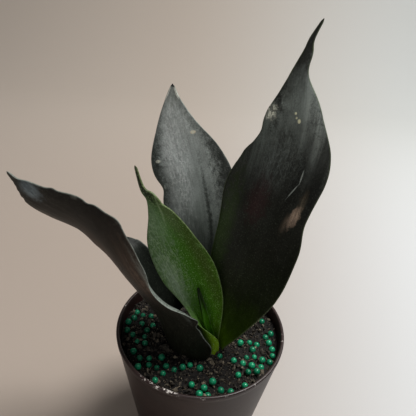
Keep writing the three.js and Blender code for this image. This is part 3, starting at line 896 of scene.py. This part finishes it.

# %% [markdown]
# ## Leaf skin
# The living surface is waxy: broad soft gloss, fine ribs that run the leaf's length, cloudy
# streaks of lighter and darker tone, and thin pale scuffs. The grey sheen that the window's
# light leaves on the wax is painted into the colour, as pale grey patches broken into streaks.
# Each mesh point knows its own place on the leaf, across and along in millimetres, so the
# patterns run along the leaf however it bends. One function makes the skin, and each leaf
# gives it its own colours and marks.

# %% Leaf skin
def spot(across, along, wide, long, colour, amount, soft=0.8, lean=0, streaky=0, crazed=0):
    """One mark on a leaf: an ellipse about a place in millimetres, its colour, how strongly
    it covers, how soft its edge is, how far it leans across for each millimetre along, and
    how much of it is broken into lengthwise streaks or into wandering hairlines."""
    return across, along, wide, long, colour, amount, soft, lean, streaky, crazed


def leaf_skin(name, tones, under, edge, upper_spots=(), under_spots=(), gloss=0.4, contrast=1,
              speckle=("8A9084", 0.15), index=1.38, ribbon=None):
    """tones and under are colours along the upper and lower faces, as (millimetres above the
    soil, colour). The spots lie over them, and the margin has its own colour and width. A
    ribbon is a painted highlight, a pale band inside the left margin where it rolls back:
    from, to and width in millimetres, colour."""
    m = Material(name)
    place = m.attribute("leaf_place", "Vector")
    across = m.add("SeparateXYZ", {}, {"Vector": place}, "X")
    along, edge_distance = across.output("Y"), across.output("Z")
    upper = m.attribute("upper")
    streak = m.noise(m.stretched(place, (0.7, 0.035, 0)), 1, 3, 0.65) - 0.5
    fibre = m.noise(m.stretched(place, (2.6, 0.12, 0)), 1, 3, 0.7) - 0.5
    cloud = m.noise(m.stretched(place, (0.1, 0.05, 0)), 1, 3, 0.6) - 0.5
    blotch = m.noise(m.stretched(place, (0.45, 0.3, 0)), 1, 4, 0.7) - 0.5
    grain = m.noise(m.stretched(place, (1.5, 1.1, 0)), 1, 3, 0.75) - 0.5
    length = tones[-1][0]
    position = (along + cloud * 40) / length

    def ramp(rows):
        stops = [(max(at, 0) / length, paint(code)) for at, code in rows]
        return m.add("ValToRGB", {"stops": stops}, {"Fac": position}, "Color")

    colour = m.mix(upper, ramp(under), ramp(tones))
    broken = blotch * 2.6 + grain * 1.2
    streaks = m.step(streak * 1.1 + fibre * 0.5 + blotch * 1 + 0.5, 0.36, 0.72)
    wander = m.noise(m.stretched(place, (0.55, 0.2, 0)), 1, 3, 0.6) - 0.5
    crazing = 1 - m.step(wander.math("ABSOLUTE"), 0.015, 0.06)
    for spots, side in ((under_spots, 1 - upper), (upper_spots, upper)):
        for x, y, wide, long, tint, amount, soft, lean, streaky, crazed in spots:
            dy = along - y
            dx = (across - x - dy * lean) / wide
            dy = dy / long
            distance = (dx * dx + dy * dy).math("SQRT") + broken * min(1, soft * 2)
            cover = (1 - m.step(distance, 1 - soft, 1 + soft)) * side * amount
            if streaky:
                cover = cover * (1 - streaky + streaks * streaky)
            if crazed:
                cover = cover * (1 - crazed + crazing * crazed)
            colour = m.mix(cover, colour, tint)
    shade = 1 + (streak * 0.7 + fibre * 0.35 + blotch * 0.9 + grain * 1.3 + cloud * 0.8) * contrast
    shaded = {0: colour, "Scale": shade.clipped(0.25, 2.2)}
    colour = m.add("VectorMath", {"operation": "SCALE"}, shaded, "Vector")
    speck_colour, speck_amount = speckle
    specks = m.step(grain * 1.3 + blotch * 0.4 + 0.5, 0.55, 0.78) * speck_amount
    colour = m.mix(specks, colour, speck_colour)
    edge_colour, width = edge
    rim = (1 - m.step(edge_distance, width * 0.3, width * 1.7)) * (0.5 + fibre * 2 + blotch)
    colour = m.mix(rim.clipped(), colour, edge_colour)
    # The ribbon is a painted highlight: pale colour along the rolled left margin.
    if ribbon:
        start, stop, breadth, ribbon_colour = ribbon
        span = m.step(along, start - 4, start + 4) * (1 - m.step(along, stop - 12, stop + 4))
        wear_and_highlight = edge_distance + blotch * 5 + grain * 4
        cover = (1 - m.step(wear_and_highlight, breadth * 0.6, breadth * 1.1)) * (1 - m.step(across, -4, -2)) * span
        colour = m.mix((cover * (0.6 + grain * 4 + blotch * 2)).clipped(), colour, ribbon_colour)
    rough = (gloss + streak * 0.35 + grain * 0.45).clipped(0.15, 1)
    normal = m.bump(fibre * 0.35 + blotch * 0.3 + grain * 0.5, 0.35, 0.0006)
    return m.finish(Base_Color=colour, Roughness=rough, Normal=normal, IOR=index)


# %% Back leaf
dress(leaves["leaf_back"], leaf_skin(
    "painted_sheen_leaf",
    # Painted sheen: the pale grey of the upper face from about 60 to 120 mm stands for the window's
    # light on the wax.
    tones=[(0, "1C2214"), (38, "4E544C"), (62, "8A918C"), (90, "BEC5C1"), (118, "BCC3BF"),
           (133, "666C64")],
    under=[(0, "2A2F20"), (60, "2E332A"), (133, "3C403A")],
    upper_spots=[
        # Painted sheen down the middle of the face; the crazed white patches are partly painted sheen,
        # partly thin scuffs.
        spot(-5, 98, 8, 34, "D2D9D5", 0.6, lean=0.06),
        spot(-6, 94, 6, 26, "FAFDFB", 1, lean=0.1, crazed=0.8),
        spot(4, 112, 6, 14, "DDE2DF", 0.5, crazed=1),
        spot(8, 84, 6, 26, "A9B0AC", 0.5, streaky=0.9),
        spot(20, 88, 6, 36, "262A25", 0.85),
        spot(-19, 90, 4.5, 34, "2C312A", 0.8),
        spot(-13, 112, 4, 22, "454B46", 0.75, lean=0.42),
        spot(13, 110, 4, 20, "454B46", 0.6, lean=-0.42),
        spot(5.8, 62, 1, 24, "1C201A", 0.7, lean=0.02),
        spot(9.5, 58, 1.2, 18, "8E9591", 0.6, 0.7, streaky=0.6),
        spot(-8, 92, 5, 2.2, "EEF2EF", 0.9, 0.5, lean=0.3, streaky=0.5),
        spot(-6, 105, 3, 9, "DDE2DF", 0.7, 0.7, lean=0.1, streaky=0.8),
        spot(-9, 80, 2.5, 9, "D0D6D2", 0.7, 0.7, streaky=0.8),
        spot(7.2, 109, 1.5, 0.9, "FBF6DF", 1, 0.25),
        spot(-15.7, 97.7, 1.4, 0.8, "F3F3E4", 1, 0.3),
        spot(-16.3, 83.2, 0.6, 1.2, "C9CEC6", 0.8, 0.3),
        spot(-2.4, 129.2, 0.6, 3.4, "F2F3E8", 1, 0.3, lean=0.45),
        spot(2, 129.5, 0.5, 2.8, "F2F3E8", 0.9, 0.3, lean=-0.42),
        spot(0.4, 134, 3, 1.6, "100E0A", 1, 0.3),
    ],
    edge=("7D847D", 0.3),
))

# %% Right leaf
dress(leaves["leaf_right"], leaf_skin(
    "black_green_leaf",
    # Painted sheen: the tones turn pale grey from about 92 to 134 mm, for the window's light on the
    # upper face.
    tones=[(0, "56780A"), (14, "34490A"), (34, "1A2406"), (60, "15190A"), (92, "292B26"),
           (112, "444844"), (134, "7A827D"), (147, "2C2E28"), (163, "14150F")],
    under=[(0, "2A3217"), (70, "262B1E"), (163, "3A3F38")],
    upper_spots=[
        spot(-18, 60, 4, 28, "2B3F0C", 0.75, 0.7),
        # Painted sheen on the upper face, and at 131 mm a painted highlight along the right edge.
        spot(-9, 101, 7, 10, "4E5552", 0.6, streaky=0.8),
        spot(-4, 118, 8, 12, "6B736F", 0.7, streaky=0.8),
        spot(-13, 112, 4, 14, "565E58", 0.7, streaky=0.7),
        spot(10, 131, 5, 16, "BAC3BE", 0.85, 0.9, lean=-0.15, streaky=0.3),
        spot(6, 136, 2.8, 14, "A3ABA6", 0.7, streaky=0.6),
        spot(-9, 140, 3, 15, "0D0E09", 0.85, 0.6),
        spot(8, 106, 2.4, 24, "0C0D08", 0.6, 0.7),
        spot(16, 108, 3, 16, "0D0E09", 0.6, 0.7),
        spot(-6, 84, 4.5, 10, "3C0F16", 0.45, 0.6),
        spot(-11, 127, 2.4, 3.6, "EEF0DF", 0.95, 0.6, crazed=0.8),
        spot(0, 127.4, 0.5, 0.6, "E8E6C4", 0.9, 0.3),
        spot(2, 124.4, 0.7, 0.9, "E8E6C4", 0.95, 0.3),
        spot(0.6, 125.6, 0.4, 0.5, "E8E6C4", 0.8, 0.3),
        spot(-1, 108, 9, 12, "8F9994", 0.22, crazed=1),
        spot(9.6, 102.5, 0.28, 3.4, "A9B1AA", 0.9, 0.4, lean=-0.05),
        spot(8.2, 95.5, 0.28, 4.2, "A9B1AA", 0.9, 0.4, lean=0.35),
        spot(14.6, 92, 1.6, 5.5, "6A6150", 0.7, 0.5, streaky=0.5),
        spot(13.2, 84.5, 2, 5.4, "BFA894", 0.95, 0.4, lean=0.2, streaky=0.35),
        spot(10.5, 80, 1.8, 5, "6E6052", 0.7, 0.6, lean=0.2, streaky=0.6),
    ],
    edge=("5F6A4A", 0.3),
    contrast=1.1,
    index=1.34,
))

# %% Left leaf
dress(leaves["leaf_left"], leaf_skin(
    "brown_black_leaf",
    tones=[(0, "10140B"), (60, "191E19"), (95, "262B29"), (128, "3E4442")],
    # The lower face is dark brown-black; the lighter brown around 64 mm is painted light on the curved
    # keel.
    under=[(0, "181A10"), (28, "1E1E16"), (46, "24201A"), (64, "30271F"), (82, "1A1712"),
           (105, "24221D"), (128, "403F39")],
    # Painted highlight: the pale upper spot at the left margin is light on the rolled edge.
    upper_spots=[spot(-17, 46, 3, 20, "8E968F", 0.5, 0.6, streaky=0.3)],
    # Painted light: brown strips of light on the keel, a pale highlight on the rolled margin at 44 mm
    # and blue-grey sheen near the tip; the small grey spot at 93 mm is the margin's own.
    under_spots=[
        spot(-15, 54, 4, 16, "6A594D", 0.65, streaky=0.6),
        spot(-18.5, 44, 1.6, 18, "8A918A", 0.5, 0.6, streaky=0.5),
        spot(2, 66, 5, 20, "5C4B3F", 0.7, streaky=0.6),
        spot(15, 84, 4, 24, "75665A", 0.6, streaky=0.6),
        spot(-3.5, 114, 3.6, 5, "94A2A8", 0.8, 0.7, streaky=0.3),
        spot(-16, 93, 1.6, 1.4, "6E7068", 0.6, 0.5),
        spot(10, 104, 3, 6, "6B6257", 0.6, 0.5, streaky=0.5),
    ],
    edge=("8E948C", 0.35),
    # The ribbon is a painted highlight along the rolled left margin.
    ribbon=(26, 62, 2.4, "8A918B"),
    gloss=0.5,
    contrast=1.3,
    index=1.33,
))

# %% Young leaf and spear
dress(leaves["leaf_young"], leaf_skin(
    "fresh_green_leaf",
    tones=[(0, "5E840A"), (22, "548C08"), (50, "477614"), (72, "4F7830"), (90, "4C5C34"),
           (107, "15160D")],
    under=[(0, "93B41C"), (14, "6E9418"), (40, "2F4412"), (107, "2A3420")],
    upper_spots=[
        spot(9.5, 52, 5, 34, "4A5520", 0.7, 0.9),
        spot(1, 58, 5, 26, "457A0C", 0.6, 0.9),
        # Silvery left flank: partly painted sheen, partly the leaf's own fine pale frosting.
        spot(-11, 56, 5.5, 28, "87A374", 0.6, streaky=0.1),
        spot(-10, 60, 7, 34, "C9DABC", 0.4, crazed=1),
        spot(-10, 42, 3, 13, "BACAB4", 0.6, streaky=0.4),
        spot(-4, 80, 5, 14, "8FA886", 0.6, 0.9, streaky=0.3),
        spot(5, 80, 3, 10, "77865F", 0.5, 0.9),
        spot(2.2, 85, 0.5, 10, "A0B28A", 0.6, 0.5, lean=0.2),
        spot(1, 102, 3, 11, "1C1E12", 0.9, 0.5),
        spot(-3, 22, 5, 14, "4A8204", 0.6, 0.9),
    ],
    edge=("76855A", 0.3),
    gloss=0.45,
    contrast=0.7,
    speckle=("B9CF9E", 0.75),
    index=1.36,
))
# Painted shade: the spear darkens towards its tip, for the shade inside the young leaf's throat.
spear_greens = [(0, "56900A"), (24, "4A8208"), (33, "2C4C0A"), (40, "0C1204")]
dress(leaves["leaf_spear"], leaf_skin(
    "spear_leaf",
    tones=spear_greens,
    under=spear_greens,
    edge=("20340A", 0.5),
    speckle=("35480E", 0.1),
    index=1.3,
))

# %% [markdown]
# ## The rhizome
# The swollen stem and its roots are inside the soil. The frame's own solid is enough for what
# nobody sees, so it keeps its mesh and only gets a finish: corky yellow brown, ringed by old
# leaf scars.

# %% Rhizome finish
def rhizome_cork():
    m = Material("corky_rhizome")
    place = m.place()
    sockets = {"Vector": place, "Scale": 90.0, "Distortion": 4.0}
    rings = m.add("TexWave", {"bands_direction": "X"}, sockets)
    patch = m.noise(place, 260, 4, 0.6)
    colour = m.mix(m.step(patch, 0.3, 0.7), "A87D4A", "D2AE74")
    colour = m.mix(rings * 0.5, colour, "7A5630")
    normal = m.bump(rings, 0.4, 0.0005)
    return m.finish(Base_Color=colour, Roughness=patch * 0.2 + 0.65, Normal=normal)


dress(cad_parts["rhizome"], rhizome_cork())

# %% [markdown]
# ## Floor, light and camera
# The stage is one pale sheet that runs from the floor up into a wall through a wide curve, so
# it shows no horizon. A large soft light on the right is the window, a weak one fills the
# left, and the sky colour of the world stands for the room's walls.

# %% Stage
BEND_START, BEND_RADIUS = 700, 500
FLOOR_FRONT, WALL_TOP, HALF_WIDTH = -900, 1500, 1600


def sweep_mesh():
    """A section of floor, quarter circle and wall, carried straight along X."""
    bend = arc((BEND_START, BEND_RADIUS), BEND_RADIUS, -90, 0, 24)
    section = np.vstack([[[FLOOR_FRONT, 0]], bend, [[BEND_START + BEND_RADIUS, WALL_TOP]]])
    x = np.linspace(-HALF_WIDTH, HALF_WIDTH, 9)
    points = np.stack(np.broadcast_arrays(x[None], section[:, :1], section[:, 1:]), -1)
    return points.reshape(-1, 3), [grid_quads(len(section), len(x), False)[:, ::-1]]


stage = make_object("stage", *sweep_mesh())


def stage_paper():
    """Painted light and shade: darker and warm on the left and pale on the right, as the window
    on the right lights the wall, by the bearing from a place half a metre in front of the pot,
    and changing a little from near to far."""
    m = Material("stage_paper")
    x = m.add("SeparateXYZ", {}, {"Vector": m.place()}, "X")
    y = x.output("Y")
    far = m.step(y, 0.1, 0.75)
    warm = m.mix(far, "A99D93", "B8AEA4")
    pale = m.mix(far, "D0D3D5", "CACDCC")
    bearing = x / (y + 0.5).math("MAXIMUM", 0.3)
    # Painted shade on the left and painted light on the right, across the stage.
    colour = m.mix(m.step(bearing, -0.12, 0.45), warm, pale)
    return m.finish(Base_Color=colour, Roughness=0.9)


dress(stage, stage_paper())


# %% Lights
def soft_light(name, place, aim, size, power, colour):
    """An area light at a place, turned to look at another, both in metres."""
    lamp = bpy.data.lights.new(name, "AREA")
    lamp.shape = "RECTANGLE"
    lamp.size, lamp.size_y = size
    lamp.energy = power
    lamp.color = colour
    holder = bpy.data.objects.new(name, lamp)
    bpy.context.scene.collection.objects.link(holder)
    back = unit(np.array(place, float) - aim)
    side = unit(np.cross([0, 0, 1], back))
    turn = np.eye(4)
    turn[:3, :3] = np.stack([side, np.cross(back, side), back], 1)
    turn[:3, 3] = place
    holder.matrix_world = Matrix(turn.tolist())


middle = np.array([0, 0, 0.12])
soft_light("window", (0.5, 0.25, 1.4), middle, (0.6, 0.6), 26.0, (1.0, 0.99, 0.97))
soft_light("room", (-0.2, -1.1, 0.5), middle, (0.9, 0.7), 2.2, (1.0, 0.98, 0.95))
world = bpy.data.worlds.new("room_light")
world.use_nodes = True
sky = world.node_tree.nodes["Background"].inputs
sky["Color"].default_value = (0.95, 0.97, 1.0, 1)
sky["Strength"].default_value = 0.17
bpy.context.scene.world = world
bpy.context.scene.view_settings.view_transform = "Standard"
bpy.context.scene.view_settings.gamma = 0.9

# %% Camera
CAMERA_PLACE = (0.0, -0.15944, 0.24401)
CAMERA_PITCH, CAMERA_ROLL, CAMERA_YAW = 60.136, 4.543, 0.4254
lens = bpy.data.cameras.new("camera")
lens.lens = 35.05
lens.sensor_width = 36.0
lens.clip_start = 0.01
camera = bpy.data.objects.new("camera", lens)
bpy.context.scene.collection.objects.link(camera)
turn = Matrix.Identity(4)
for degrees, axis in ((CAMERA_YAW, "Z"), (CAMERA_PITCH, "X"), (CAMERA_ROLL, "Z")):
    turn = turn @ Matrix.Rotation(math.radians(degrees), 4, axis)
camera.matrix_world = Matrix.Translation(CAMERA_PLACE) @ turn
bpy.context.scene.camera = camera
